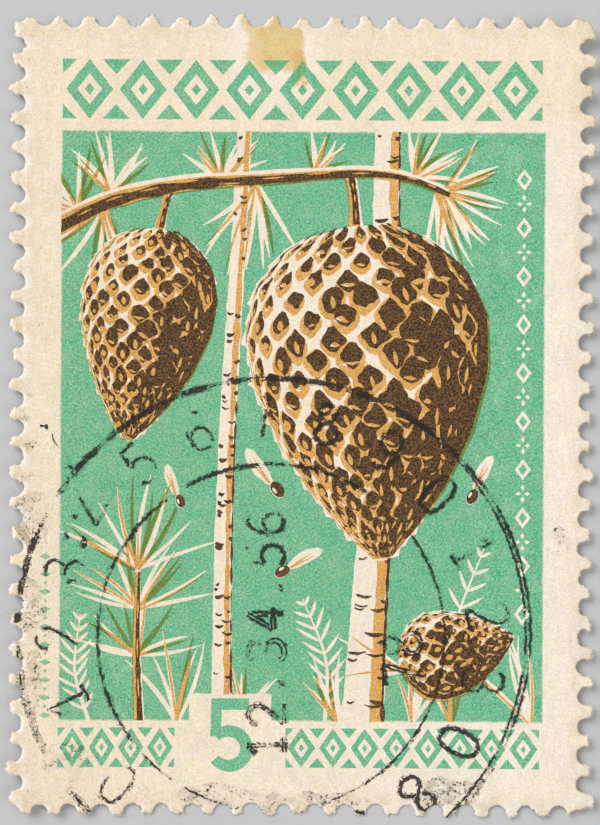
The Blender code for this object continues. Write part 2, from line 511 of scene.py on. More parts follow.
def winged_seed(plates, x, y, turn, size):
    """A pine seed on its papery wing."""
    def at(across, along):
        return placed(along, across, (x, y), turn, size)

    def bead(across, along, half_across, half_along, count):
        turns = [i * math.tau / count for i in range(count)]
        return [at(across + half_across * math.sin(a), along + half_along * math.cos(a)) for a in turns]

    wing = [at(0.0, 0.1), at(0.17, 0.35), at(0.30, 0.8), at(0.30, 1.25), at(0.17, 1.6), at(0.0, 1.72),
            at(-0.13, 1.5), at(-0.17, 1.0), at(-0.12, 0.5)]
    plates.spare(wobble(wing, 0.04, 2.5), "green")
    for across in (0.10, -0.04):
        vein = [at(across * t, 0.3 + 1.05 * t) for t in QUARTERS]
        plates.ink("ochre", brush(vein, taper(0.05, 0.04, 0.015)))
    kernel, glint = bead(0.0, -0.02, 0.2, 0.30, 14), bead(0.10, 0.0, 0.05, 0.12, 8)
    plates.spare(kernel, "green", "ochre")
    plates.ink("brown", kernel)
    plates.spare(glint, "brown")


def seedling(plates, x, y, height, seed):
    """A young pine: a short stem under whorls of long needles."""
    for share, spread, length in ((0.45, 3.4, 0.42), (0.75, 3.1, 0.50), (1.0, 2.5, 0.60)):
        whorl = (x, y + height * share)
        spray(plates, whorl, math.pi / 2, spread, 13, height * length, seed + int(share * 100))
    wood(plates, [(x + 0.1, y), (x - 0.05, y + height * 0.5), (x, y + height)], taper(0.26, 0.18, 0.1))


def birch(plates, foot, head, half_foot, half_head, seed):
    """A birch trunk: bare paper, shaded with ochre, under brown bark marks."""
    dice = random.Random(seed)
    foot, head = Vector(foot), Vector(head)

    def at(t):
        return foot.lerp(head, t) + Vector((0.16 * math.sin(t * 5 + seed), 0))

    def half(t):
        return lerp(half_foot, half_head, t ** 0.6)

    def strip(out, share, size, grain):
        """A strip of the trunk, its place and its half width in shares of the trunk's half width."""
        line = [at(i / 24) + Vector((half(i / 24) * out, 0)) for i in range(25)]
        return wobble(brush(line, lambda t: half(t) * share), size, grain)

    plates.spare(strip(0.0, 1.0, 0.05, 1.6), "green", "ochre", "brown")
    plates.ink("ochre", strip(0.66, 0.30, 0.10, 1.5))
    plates.ink("brown", strip(0.9, 0.08, 0.07, 1.9))
    for _ in range(int((head - foot).length * 1.9)):
        t = dice.uniform(0.0, 1.0)
        reach, way = half(t), dice.choice([-1, 1])
        long = reach * dice.uniform(0.25, 1.0)
        start = at(t) + Vector((way * reach * dice.uniform(0.75, 1.0), 0))
        end = start - Vector((way * long, dice.uniform(-0.10, 0.10)))
        dip = start.lerp(end, 0.5) + Vector((0, -0.08))
        mark = brush(spline([start, dip, end], 4), taper(0.05, dice.uniform(0.05, 0.11), 0.02))
        plates.ink("brown", wobble(mark, 0.03, 5))


def fern(plates, foot, tip, bend, reach, seed):
    """A frond in bare paper: a bent stem with leaflets on both sides."""
    dice = random.Random(seed)
    foot, tip = Vector(foot), Vector(tip)
    side = Vector((foot.y - tip.y, tip.x - foot.x)).normalized()
    stem = spline([foot, foot.lerp(tip, 0.5) + side * bend, tip], 10)
    plates.spare(brush(stem, taper(0.10, 0.07, 0.03)), "green")
    for i in range(3, len(stem) - 1, 2):
        along = (stem[i + 1] - stem[i - 1]).normalized()
        share = i / len(stem)
        for way in (-1, 1):
            out = Vector((-along.y, along.x)) * way
            heading = (along * dice.uniform(0.7, 1.0) + out).normalized()
            length = reach * math.sin(math.pi * (0.15 + 0.8 * share)) * dice.uniform(0.85, 1.1)
            line = [stem[i] + heading * length * t + along * 0.12 * length * t * t for t in QUARTERS]
            plates.spare(brush(line, taper(0.04, 0.085, 0.015)), "green")


GROUND = -15.0

# Sprays on the bough, and tufts of grass: place, heading, spread, count, length and seed.
SPRAYS = (
    ((-10.9, 9.9), 2.1, 2.2, 9, 3.4, 11), ((-9.3, 10.8), 1.5, 2.4, 12, 3.0, 12),
    ((-9.6, 10.2), -1.9, 1.6, 9, 4.2, 13), ((-3.9, 11.4), 1.6, 2.2, 11, 2.6, 14),
    ((-2.2, 11.2), -1.75, 1.5, 10, 4.6, 15), ((0.6, 11.8), 1.2, 1.6, 9, 2.2, 16),
    ((5.4, 11.6), 0.9, 1.9, 12, 2.7, 17), ((6.9, 11.0), -0.25, 2.6, 15, 3.1, 18),
    ((6.5, 11.0), -1.25, 1.2, 9, 4.0, 19),
)
TUFTS = (
    ((-6.0, GROUND), 1.55, 1.0, 7, 4.6, 43), ((-2.8, GROUND), 1.5, 1.0, 6, 3.2, 44),
    ((1.9, GROUND), 1.85, 1.0, 7, 3.3, 45), ((5.4, GROUND), 1.3, 1.0, 7, 3.3, 46),
    ((7.4, GROUND), 1.7, 1.0, 5, 3.9, 47), ((11.2, GROUND), 1.9, 1.0, 7, 4.8, 48),
    ((5.0, -12.4), 2.9, 1.1, 8, 3.6, 41),
)
BOUGH = ((-11.9, 9.2), (-9.2, 10.5), (-5.6, 11.3), (-1.5, 11.6), (2.8, 11.9), (5.3, 11.6), (7.1, 10.9))
WINGED_SEEDS = (
    (-1.2, -3.6, 2.2, 1.45), (-0.9, -7.6, 0.5, 1.3), (8.3, -3.9, 1.1, 1.3), (-5.9, -4.2, 1.9, 1.1),
)


def draw_picture(plates):
    fern(plates, (7.3, -15.1), (8.9, -6.4), 0.7, 1.2, 51)
    fern(plates, (1.2, -15.1), (0.1, -8.9), -0.6, 1.3, 52)
    fern(plates, (-10.2, -15.1), (-10.7, -9.7), 0.5, 1.1, 53)
    birch(plates, (3.2, GROUND), (4.2, 14.2), 1.05, 0.62, 5)
    birch(plates, (-3.9, GROUND), (-3.0, 14.2), 0.52, 0.34, 9)
    for numbers in SPRAYS:
        spray(plates, *numbers)
    wood(plates, [(-6.4, 11.2), (-6.7, 10.2), (-7.0, 8.8)], taper(0.22, 0.2, 0.3))
    wood(plates, [(2.3, 11.8), (2.5, 10.6), (2.6, 8.9)], taper(0.28, 0.26, 0.4))
    wood(plates, BOUGH, lambda t: lerp(0.50, 0.20, t) + 0.05 * noise.noise(Vector((t * 24, 0, 5))))
    pine_cone(plates, (-7.0, 9.0), (-8.4, -1.2), 3.2, 15, 21)
    pine_cone(plates, (2.6, 9.2), (4.0, -6.9), 5.75, 18, 22)
    seedling(plates, -7.9, -15.1, 7.6, 31)
    for numbers in WINGED_SEEDS:
        winged_seed(plates, *numbers)
    for numbers in TUFTS:
        spray(plates, *numbers)
    pine_cone(plates, (4.9, -12.1), (10.3, -10.7), 2.1, 13, 23)


# The ornaments of the margins, which stand where a stamp has its lettering.

def lozenge_row(plates, left, right, low, top, count):
    """A row of hollow lozenges with small darts between them."""
    unit = (right - left) / count
    middle, half_up = (low + top) / 2, (top - low) / 2
    for i in range(count):
        x = left + unit * (i + 0.5)
        plates.ink("green", wobble(rhombus(x, middle, unit * 0.44, half_up), 0.02, 3))
        plates.spare(wobble(rhombus(x, middle, unit * 0.23, half_up * 0.52), 0.02, 3), "green")
        plates.ink("green", wobble(rhombus(x, middle, unit * 0.09, half_up * 0.20), 0.015, 3))
    for i in range(count + 1):
        x = left + unit * i
        start = x - unit * 0.26 * (0 if i == 0 else 1)
        end = x + unit * 0.26 * (0 if i == count else 1)
        for base, way in ((low, 1), (top, -1)):
            dart = [Vector((start, base)), Vector((end, base)), Vector((x, base + way * half_up * 0.50))]
            plates.ink("green", wobble(dart, 0.02, 3))


TABLET = (-5.40, -17.4, -1.40, -13.54)
NUMERAL_FOOT = (-3.45, -17.33)


def draw_numeral(plates):
    """A plain 5, on the bare tablet that steps into the picture."""
    x, y = NUMERAL_FOOT
    turns = [math.radians(a) for a in range(138, -149, -8)]
    bowl = [Vector((x + 0.86 * math.cos(turn), y + 1.13 + 0.84 * math.sin(turn))) for turn in turns]
    stem = [Vector((x - 0.60, y + 3.30)), Vector((x - 0.66, y + 1.70))]
    for shape in (rectangle(x - 0.86, y + 3.0, x + 0.98, y + 3.56), brush(stem, taper(0.26, 0.26, 0.25)),
                  brush(bowl, taper(0.24, 0.31, 0.26))):
        plates.ink("green", wobble(shape, 0.025, 3))


def draw_margins(plates):
    for left, right, low, top, count in ((-11.68, 11.58, 14.36, 17.26, 9), (-11.75, -6.10, -17.12, -15.20, 4),
                                         (-0.70, 11.62, -17.12, -15.20, 8)):
        lozenge_row(plates, left, right, low, top, count)
    plates.spare(rectangle(*TABLET), "green", "ochre", "brown")
    draw_numeral(plates)

    # A bare column at the right, and a small green one at the left.
    right, left, last = 10.75, -12.39, 18
    for i in range(last + 1):
        y = lerp(11.5, -9.6, i / last)
        if i % 2:
            for across, up in ((0.22, 0), (-0.22, 0), (0, 0.29), (0, -0.29)):
                petal = rhombus(right + across, y + up, 0.10 + 0.2 * abs(across), 0.10 + 0.2 * abs(up))
                plates.spare(wobble(petal, 0.02, 4, 0.1), "green")
        else:
            plates.spare(wobble(rhombus(right, y, 0.38, 0.52), 0.02, 3, 0.1), "green")
            plates.ink("green", wobble(rhombus(right, y, 0.20, 0.29), 0.02, 3, 0.1))
    for i in range(last + 1):
        half_across, half_up = (0.10, 0.09) if i % 2 else (0.29, 0.16)
        lozenge = rhombus(left, lerp(-6.9, -14.6, i / last), half_across, half_up)
        plates.ink("green", wobble(lozenge, 0.02, 5, 0.1), 0.85)


# The postmark.

OUTER_RING = (-1.35, -10.60, 12.40)
INNER_RING = (-1.42, -10.80, 8.43)
BAND_DIGITS = "12345678901230867890"
BAND_RADIUS, BAND_START, BAND_STEP, BAND_HEIGHT = 9.45, 205, 17.6, 1.95
DATE_DIGITS = "12.34.56"
DATE_FOOT, DATE_STEP, DATE_HEIGHT = (-0.75, -16.6), (-0.012, 1.55), 1.75
HOUR_DIGITS, HOUR_HEIGHT = (("7", (6.0, -12.95)), ("8", (5.95, -11.55))), 1.85

# A line prints nothing where it is pressed less than this, and squeezes its ink if it is broader than this.
LEAST_PRESS = 0.06
SQUEEZED_HALF_WIDTH = 0.09
SPATTER = 0.06

# The rings' lines: ring, start and end angle, offset, half width, spatter to each side and faintness.
RING_LINES = (
    (OUTER_RING, 0.62, 3.1, 0.0, 0.12, 0.07, 0.0),
    (OUTER_RING, -3.15, -2.0, 0.0, 0.025, 0.17, 0.0),
    (OUTER_RING, -1.9, 0.55, 0.0, 0.02, 0.13, 0.0),
    (OUTER_RING, -1.9, -0.85, 0.12, 0.06, 0.03, 0.0),
    (OUTER_RING, -0.85, 0.1, 0.12, 0.045, 0.03, -0.25),
    (OUTER_RING, 0.1, 0.62, 0.12, 0.06, 0.03, 0.0),
    (OUTER_RING, -1.8, -0.85, -0.11, 0.05, 0.03, 0.0),
    (OUTER_RING, -0.85, 0.1, -0.11, 0.04, 0.03, -0.3),
    (OUTER_RING, 0.1, 0.7, -0.11, 0.05, 0.03, 0.0),
    (INNER_RING, 0.9, 3.85, 0.0, 0.07, 0.07, 0.0),
    (INNER_RING, 3.85, 4.4, 0.0, 0.05, 0.05, 0.35),
    (INNER_RING, -1.88, -0.42, 0.0, 0.03, 0.045, -0.35),
    (INNER_RING, -0.42, 0.15, 0.0, 0.04, 0.05, 0.3),
    (INNER_RING, 0.15, 0.9, 0.0, 0.045, 0.06, 0.0),
)

# Smudges, and specks that fell beside the rings: place, half width, half height and a speck's amount.
SMUDGES = (
    (-13.1, -5.2, 0.9, 1.5), (-13.5, -9.4, 0.7, 1.3), (-12.9, -13.0, 0.6, 1.7), (-11.4, -16.9, 1.2, 0.9),
    (-4.3, -18.6, 2.1, 0.5), (0.9, -18.7, 2.8, 0.5), (12.6, -6.0, 0.3, 0.7), (7.3, -18.3, 1.7, 0.5),
)
SPECKS = (
    (-12.5, -0.6, 0.14, 0.11, 2.0), (-11.3, -2.6, 0.25, 0.13, 1.2), (-11.0, -5.0, 0.12, 0.15, 0.9),
    (-11.4, -5.9, 0.10, 0.26, 1.7), (-10.6, -6.2, 0.15, 0.28, 0.8), (-11.1, -8.1, 0.24, 0.10, 1.0),
    (-13.35, 0.9, 0.24, 0.12, 0.3), (-13.4, -0.2, 0.3, 0.14, 0.3), (-13.1, -1.5, 0.36, 0.2, 0.3),
    (-13.3, -3.0, 0.3, 0.14, 0.3),
)

# A digit's pen strokes, each as points on a field 1 high.
DIGITS = {
    "0": ([(.30, 1), (.12, .93), (.03, .70), (.02, .50), (.03, .30), (.12, .07), (.30, 0)],
          [(.30, 0), (.48, .07), (.57, .30), (.58, .50), (.57, .70), (.48, .93), (.30, 1)]),
    "1": ([(.10, .78), (.34, 1)], [(.34, 1.03), (.34, 0)], [(.12, 0), (.56, 0)]),
    "2": ([(.05, .74), (.10, .92), (.30, 1), (.50, .92), (.55, .74), (.45, .50), (.05, 0)],
          [(.05, 0), (.58, 0)]),
    "3": ([(.04, .86), (.16, .98), (.36, .99), (.52, .87), (.50, .66), (.36, .55), (.20, .53)],
          [(.20, .53), (.44, .49), (.58, .33), (.53, .12), (.35, 0), (.14, .01), (.02, .14)]),
    "4": ([(.44, 0), (.44, 1)], [(.44, 1), (.02, .30)], [(.02, .30), (.62, .30)]),
    "5": ([(.54, 1), (.12, 1)], [(.12, 1), (.08, .56)],
          [(.08, .56), (.28, .62), (.48, .54), (.57, .34), (.50, .10), (.30, 0), (.12, .02), (.02, .12)]),
    "6": ([(.52, .90), (.38, 1), (.20, .90), (.06, .60), (.04, .30), (.14, .06), (.32, 0)],
          [(.32, 0), (.52, .08), (.57, .30), (.48, .50), (.30, .56), (.12, .46), (.05, .30)]),
    "7": ([(.02, 1), (.58, 1)], [(.57, 1), (.36, .50), (.22, 0)]),
    "8": ([(.30, 1), (.12, .93), (.09, .76), (.20, .60), (.40, .48), (.55, .34), (.54, .14), (.30, 0)],
          [(.30, 0), (.06, .14), (.05, .34), (.20, .48), (.40, .60), (.51, .76), (.48, .93), (.30, 1)]),
    "9": ([(.08, .10), (.22, 0), (.40, .10), (.54, .40), (.56, .70), (.46, .94), (.28, 1)],
          [(.28, 1), (.08, .92), (.03, .70), (.12, .50), (.30, .44), (.48, .54), (.55, .70)]),
    ".": ([(.18, .08), (.36, .08)],),
}


def worn(x, y):
    """How well the canceller printed at a point, from nothing (0) to fully (1): best at the lower right."""
    spot = noise.noise(Vector((x, y, 9.0)) * 0.55) + 0.6 * noise.noise(Vector((x, y, 4.0)) * 1.7)
    low_right = clamp((6.5 - math.hypot(x - 6.0, y + 16.0)) / 3.5)
    return clamp(0.78 + 1.05 * spot + 0.5 * low_right)


def stamped_line(plates, line, half_width, spatter, faint, squeezes=False):
    """A line of the canceller: thick where it printed well, missing where it didn't, and spattered along
    both sides. The broadest strokes squeeze their ink aside, and print paler along their middles."""
    run = []

    def half(t):
        _, press = run[int(t * (len(run) - 1))]
        return half_width * (0.45 + 0.75 * press)

    def pale(t):
        point, _ = run[int(t * (len(run) - 1))]
        share = 0.25 + 1.6 * noise.noise(Vector((point.x, point.y, 6.0)) * 0.9)
        return max(THINNEST_STROKE, half(t) * min(0.55, share))

    for point in line + [None]:
        press = worn(point.x, point.y) - faint if point else 0.0
        if press > LEAST_PRESS:
            run.append((point, press))
            continue
        if len(run) > 3:
            points = [printed for printed, _ in run]
            plates.ink("black", wobble(brush(points, lambda t: half(t) + spatter), 0.10, 5, 0.18), 0.45)
            plates.ink("black", wobble(brush(points, half), 0.09, 6, 0.10))
            if squeezes:
                plates.ink("black", wobble(brush(points, pale), 0.05, 7, 0.10), 0.32)
        run = []


def ring_line(ring, start, end, offset):
    x, y, radius = ring
    count = max(4, int(abs(end - start) * radius / 0.22))
    turns = [lerp(start, end, i / count) for i in range(count + 1)]
    return [Vector((x + (radius + offset) * math.cos(turn), y + (radius + offset) * math.sin(turn)))
            for turn in turns]


def stamp_digit(plates, digit, origin, turn, height, half_width, faint=0.0):
    for stroke in DIGITS[digit]:
        points = [placed(x, y, origin, turn, height) for x, y in stroke]
        line = spline(points, 5) if len(points) > 2 else straight(*points, 6)
        stamped_line(plates, line, half_width, SPATTER, faint, half_width > SQUEEZED_HALF_WIDTH)


def draw_postmark(plates):
    for smudge in SMUDGES:
        plates.ink("black", wobble(oval(*smudge, 24), 0.7, 0.9, 0.3), 0.34)
    for *speck, amount in SPECKS:
        plates.ink("black", wobble(oval(*speck, 14), 0.2, 6, 0.08), amount)
    hair = spline([(-12.1, -0.95), (-12.02, -1.3), (-11.75, -1.62), (-11.5, -1.9)], 5)
    plates.ink("black", brush(hair, taper(0.03, 0.035, 0.02)), 4.0)
    for ring, start, end, offset, half_width, spatter, faint in RING_LINES:
        stamped_line(plates, ring_line(ring, start, end, offset), half_width, spatter, faint)

    # Between the rings, clockwise from the lower left. The first six are faint, and all but two of those
    # after the eleventh are thin.
    for i, digit in enumerate(BAND_DIGITS):
        turn = math.radians(BAND_START - i * BAND_STEP)
        x = OUTER_RING[0] + BAND_RADIUS * math.cos(turn) + 0.55 * math.sin(turn)
        y = OUTER_RING[1] + BAND_RADIUS * math.sin(turn) - 0.55 * math.cos(turn)
        half_width = 0.085 if i < 11 or i in (13, 14) else 0.06
        faint = 0.45 if i < 6 else 0.0
        stamp_digit(plates, digit, (x, y), turn - math.pi / 2, BAND_HEIGHT, half_width, faint)

    # The date, up the middle, and the hour beside it.
    for i, digit in enumerate(DATE_DIGITS):
        foot = (DATE_FOOT[0] + DATE_STEP[0] * i, DATE_FOOT[1] + i * DATE_STEP[1])
        stamp_digit(plates, digit, foot, math.pi / 2 + 0.03, DATE_HEIGHT, 0.12 if i < 5 else 0.085)
    for digit, foot in HOUR_DIGITS:
        stamp_digit(plates, digit, foot, math.pi / 2 + 0.1, HOUR_HEIGHT, 0.10, -0.1)


# ---------------------------------------------------------------------------------------------------
# From the drawings to the sheet.

HOLE_SIDES = 36
EDGE_STEP = 0.05
FINE_STEP = 0.03

# Rows of points behind the edge, at these depths, and a grid, clear of the edge by this much.
FACE_ROWS = (0.05, 0.13)
BACK_ROWS = (0.10,)
GRID = 0.75
GRID_CLEARANCE = 0.3

# The edge's rounding: how far in it reaches, and how much the face and the back give way.
ROUNDED_REACH = 0.11
FACE_ROUNDING = 0.035
BACK_ROUNDING = 0.02

# How far in the torn edge's looks and the margin's reach.
TORN_REACH = 0.26
MARGIN_REACH = 0.9

# The map: the printed face takes most of it; the back and the edges share a strip beside it.
MAP_LEFT, MAP_LOW, MAP_SPAN = 14.6, 20.0, 40.2
STRIP_LEFT, STRIP_SCALE, BACK_LOW, RIM_LOW = 0.745, 0.34, 0.01, 0.40


def past_pins(point):
    """How far a point lies outside the rows of pins."""
    return max(abs(point.x) - WIDTH / 2, abs(point.y) - HEIGHT / 2)


def punched_edge():
    """The sheet's edge: its torn outline without the pins' holes, with the raggedness of torn paper."""
    dice = random.Random(TEAR_SEED)
    rows = sides(dice)
    outline = [corner + along * distance + out * (reach - tear.sunk)
               for corner, along, out, pins, tear, first, last in rows
               for distance, reach in torn_side(pins, tear, first, last, dice)]
    holes = [oval(*(corner + along * distance - out * tear.sunk), tear.hole, tear.hole, HOLE_SIDES)
             for corner, along, out, pins, tear, *_ in rows for distance in pins]
    points, triangles, _, holders = triangulate([outline] + holes)
    kept = [t for t, held in zip(triangles, holders) if held == [0]]
    ragged = []
    for point, along in with_heading(resample([points[i] for i in outer_edge(kept)], EDGE_STEP)):
        torn = clamp((past_pins(point) + 0.10) / 0.14)
        place = Vector((point.x, point.y, 1.3))
        shift = lerp(0.014, 0.085, torn) * (noise.noise(place * 4) + noise.noise(place * 9))
        shift += 0.22 * torn * max(0.0, noise.noise(place * 6 + Vector((9, 0, 0))) - 0.15)
        shift += (1 - torn) * (0.09 * noise.noise(place * 1.7 + Vector((0, 5, 0)))
                               + 0.30 * max(0.0, noise.noise(place * 4.5 + Vector((0, 0, 8))) - 0.26))
        ragged.append(point + Vector((along.y, -along.x)) * shift)
    return ragged


def tree_of(points):
    tree = KDTree(len(points))
    for i, point in enumerate(points):
        tree.insert((point.x, point.y, 0), i)
    tree.balance()
    return tree


def inside_points(edge, tree, rows):
    """Loose points: rows close behind the edge, and a grid over the rest, so that the sheet can bend."""
    loose = []
    for point, along in with_heading(edge)[::2]:
        for depth in rows:
            place = point + Vector((-along.y, along.x)) * depth
            if tree.find((place.x, place.y, 0))[2] > depth * 0.75:
                loose.append(place)
    across, down = int(WIDTH / 2 / GRID), int(HEIGHT / 2 / GRID)
    for i in range(-across, across + 1):
        for j in range(-down, down + 1):
            if tree.find((i * GRID, j * GRID, 0))[2] > GRID_CLEARANCE:
                loose.append(Vector((i * GRID, j * GRID)))
    return loose


def recount(loops, points, kept):
    """Puts right the loops that touch themselves, which hold the wrong triangles."""
    filled = [0.0] * len(loops)
    for triangle, held in kept:
        area = abs(signed_area([points[i] for i in triangle]))
        for k in held:
            filled[k] += area
    wrong = {k for k in range(1, len(loops)) if filled[k] > 1.02 * abs(signed_area(loops[k])) + 0.01}
    middles = [middle_of(points, triangle) for triangle, _ in kept]
    held_by = [[k for k in held if k not in wrong] for _, held in kept]
    for k in wrong:
        left, right = min(p.x for p in loops[k]), max(p.x for p in loops[k])
        low, top = min(p.y for p in loops[k]), max(p.y for p in loops[k])
        for held, middle in zip(held_by, middles):
            if left < middle.x < right and low < middle.y < top and winding(loops[k], middle):
                held.append(k)
    return [(triangle, held) for (triangle, _), held in zip(kept, held_by)]


def new_object(name, data):
    made = bpy.data.objects.new(name, data)
    bpy.context.scene.collection.objects.link(made)
    return made


def smooth_mesh(name, coordinates, faces):
    mesh = bpy.data.meshes.new(name)
    mesh.from_pydata(coordinates, [], faces)
    mesh.polygons.foreach_set("use_smooth", [True] * len(faces))
    return mesh


def lay_inks(mesh, plates, points, kept):
    """Gives each triangle of the face its amount of each ink, from the last shape that covers it."""
    for plate in OUT_OF_REGISTER:
        amounts = [0.0] * len(mesh.polygons)
        for i, (triangle, held) in enumerate(kept):
            last = max((k for k in held if k and plates.shapes[k - 1][0] == plate), default=None)
            if last and (1 in held or plate not in ("ochre", "brown")):
                amounts[i] = plates.shapes[last - 1][1]
                if plate == "black":
                    middle = middle_of(points, triangle)
                    amounts[i] = min(1.0, amounts[i] * worn(middle.x, middle.y))
        mesh.attributes.new(plate + "_ink", "FLOAT", "FACE").data.foreach_set("value", amounts)


def lay_wear_and_edge_light(mesh, coordinates, fine, tree):
    """Gives each point its nearness to the torn edge and to the margin, and a painted highlight on the edges
    that face the left, where the light falls.
    """
    # Painted highlight: how far the edge faces the left, towards the light, which whitens it.
    facing_left = [max(0.0, (before.y - after.y) / (after - before).length)
             for before, after in zip(fine[-4:] + fine[:-4], fine[4:] + fine[:4])]
    nearest = [tree.find((x / MM, y / MM, 0))[1:] for x, y, _ in coordinates]
    torn = [max(0.0, 1 - d / TORN_REACH) for _, d in nearest]
    margin = [max(0.0, 1 - d / MARGIN_REACH) for _, d in nearest]
    painted_highlight = [facing_left[i] * near for (i, _), near in zip(nearest, torn)]
    for name, values in (("torn_edge", torn), ("margin", margin), ("painted_edge_highlight", painted_highlight)):
        mesh.attributes.new(name, "FLOAT", "POINT").data.foreach_set("value", values)


def lay_map(mesh, faces_end, backs_end):
    uv = []
    for n, polygon in enumerate(mesh.polygons):
        low = BACK_LOW if n < backs_end else RIM_LOW
        for v in polygon.vertices:
            x, y, _ = mesh.vertices[v].co
            u, w = (x / MM + MAP_LEFT) / MAP_SPAN, (y / MM + MAP_LOW) / MAP_SPAN
            uv += [u, w] if n < faces_end else [STRIP_LEFT + u * STRIP_SCALE, low + w * STRIP_SCALE]
    mesh.uv_layers.new(name="OFBake").data.foreach_set("uv", uv)


def make_sheet(plates, edge):
    """The printed face, cut along every shape's outline, over a plainer back, with the rim between them."""
    fine = resample(edge, FINE_STEP)
    tree = tree_of(fine)
    loops = [edge] + [loop for _, _, loop in plates.shapes]
    points, triangles, _, holders = triangulate(loops, inside_points(edge, tree, FACE_ROWS))
    kept = recount(loops, points, [(t, held) for t, held in zip(triangles, holders) if 0 in held])
    used = sorted({i for triangle, _ in kept for i in triangle})
    number = {old: new for new, old in enumerate(used)}
    face_points = [points[i] for i in used]
    faces = [[number[i] for i in triangle] for triangle, _ in kept]

    rim = outer_edge(faces)
    back_points, back_triangles, sources, holders = triangulate([[face_points[i] for i in rim]],
                                                                inside_points(edge, tree, BACK_ROWS))
    back_triangles = [t for t, held in zip(back_triangles, holders) if held]
    first_back = len(face_points)
    rim_below = {s: first_back + i for i, source in enumerate(sources) for s in source if s < len(rim)}
    faces_end, backs_end = len(faces), len(faces) + len(back_triangles)
    faces += [[first_back + i for i in reversed(t)] for t in back_triangles]
    for i in range(len(rim)):
        j = (i + 1) % len(rim)
        faces.append([rim[j], rim[i], rim_below[i], rim_below[j]])

    coordinates = []
    for side, base, rounding in ((face_points, THICKNESS, -FACE_ROUNDING), (back_points, 0.0, BACK_ROUNDING)):
        for point in side:
            near = max(0.0, 1 - tree.find((point.x, point.y, 0))[2] / ROUNDED_REACH)
            z = curl(point.x, point.y) + base + rounding * near**2
            coordinates.append((point.x * MM, point.y * MM, z * MM))

    mesh = smooth_mesh("printed_sheet", coordinates, faces)
    parts = [0] * faces_end + [1] * (backs_end - faces_end) + [2] * (len(faces) - backs_end)
    mesh.polygons.foreach_set("material_index", parts)
    lay_inks(mesh, plates, points, kept)
    lay_wear_and_edge_light(mesh, coordinates, fine, tree)
    lay_map(mesh, faces_end, backs_end)
    mesh.validate()
    return new_object("printed_sheet", mesh)


FIBRE_SEED = 7
FIBRE_ROOT = 0.04
FIBRE_THICKNESS = 0.012
TEETH_START = -0.04


def make_fibres(edge):
    """The paper's torn fibres, which stand out along its edge: a fuzz at the teeth, and a few long ones."""
    dice = random.Random(FIBRE_SEED)
    coordinates, faces = [], []
    lowest, highest = solid_box[0][2] / MM + FIBRE_THICKNESS, solid_box[1][2] / MM

    def fibre(point, heading, length, radius, bend, rise):
        """A three-sided tube that thins, bends and rises from its root inside the paper."""
        base_z = curl(point.x, point.y) + dice.uniform(0.02, 0.09)
        here = point - heading * FIBRE_ROOT
        steps, starts = (3 if length < 0.3 else 6), []
        for k in range(steps + 1):
            t = k / steps
            z = clamp(base_z + rise * t * t, lowest, highest)
            wide = radius * (1 - 0.7 * t)
            way = placed(heading.x, heading.y, (0.0, 0.0), bend * t)
            side = Vector((-way.y, way.x)) * wide
            starts.append(len(coordinates))
            for x, y, up in ((side.x, side.y, -0.5 * wide), (-side.x, -side.y, -0.5 * wide), (0, 0, wide)):
                coordinates.append(((here.x + x) * MM, (here.y + y) * MM, (z + up) * MM))
            here = here + way * (length + FIBRE_ROOT) / steps
        for a, b in zip(starts, starts[1:]):
            faces.extend((a + i, a + (i + 1) % 3, b + (i + 1) % 3, b + i) for i in range(3))
        faces.append((starts[0] + 2, starts[0] + 1, starts[0]))
        faces.append((starts[-1], starts[-1] + 1, starts[-1] + 2))

    for point, along in with_heading(edge):
        tries, chance, longest = (3, 0.75, 0.17) if past_pins(point) > TEETH_START else (1, 0.16, 0.08)
        long_chance = 0.045 if point.x > WIDTH / 2 - 0.4 else 0.02
        for _ in range(tries):
            if dice.random() > chance:
                continue
            heading = placed(along.y, -along.x, (0.0, 0.0), dice.gauss(0, 0.75))
            length = dice.uniform(0.03, longest)
            radius, bend = dice.uniform(0.004, 0.009), dice.uniform(-1.6, 1.6)
            if dice.random() < long_chance:
                length, radius, bend = dice.uniform(0.3, 0.8), 0.008, dice.uniform(-2.6, 2.6)
            fibre(point, heading, length, radius, bend, dice.uniform(-0.04, 0.05))
    return new_object("torn_fibres", smooth_mesh("torn_fibres", coordinates, faces))


# ---------------------------------------------------------------------------------------------------
# Materials.

def linear(r, g, b):
    """A colour from its 8-bit screen values."""
    def one(v):
        v /= 255
        return v / 12.92 if v <= 0.04045 else ((v + 0.055) / 1.055) ** 2.4
    return (one(r), one(g), one(b), 1.0)


PAPER_WARM = linear(245, 230, 206)
PAPER_COOL = linear(249, 238, 222)
# Also used for the painted highlight on torn edges that face the left.
PAPER_WHITE = linear(250, 244, 234)
PAPER_SPECK = linear(140, 108, 76)
YELLOWED = linear(214, 188, 138)
# Painted shade for the torn edge towards the right.
RIGHT_EDGE_SHADE = linear(176, 146, 104)
# How much darker the rim turns towards the edge.
RIM_DARKER = (0.965, 0.962, 0.95, 1.0)
PINKER = (1.02, 0.985, 1.06, 1.0)
YELLOWER = (1.0, 1.0, 0.90, 1.0)
GREEN = linear(83, 180, 133)
OCHRE = linear(219, 158, 60)
BROWN = linear(46, 30, 16)
LIGHT_BROWN = linear(128, 92, 52)
BLACK = linear(34, 29, 26)
SMUDGE = linear(126, 122, 92)
STAIN = linear(225, 197, 132)
STAIN_SPOT = linear(214, 158, 88)
SHOW_THROUGH = linear(200, 214, 188)
GUM = linear(232, 208, 160)
TORN_PAPER = linear(244, 236, 222), linear(254, 251, 245)
FLOOR = linear(196, 197, 199), linear(201, 202, 204)


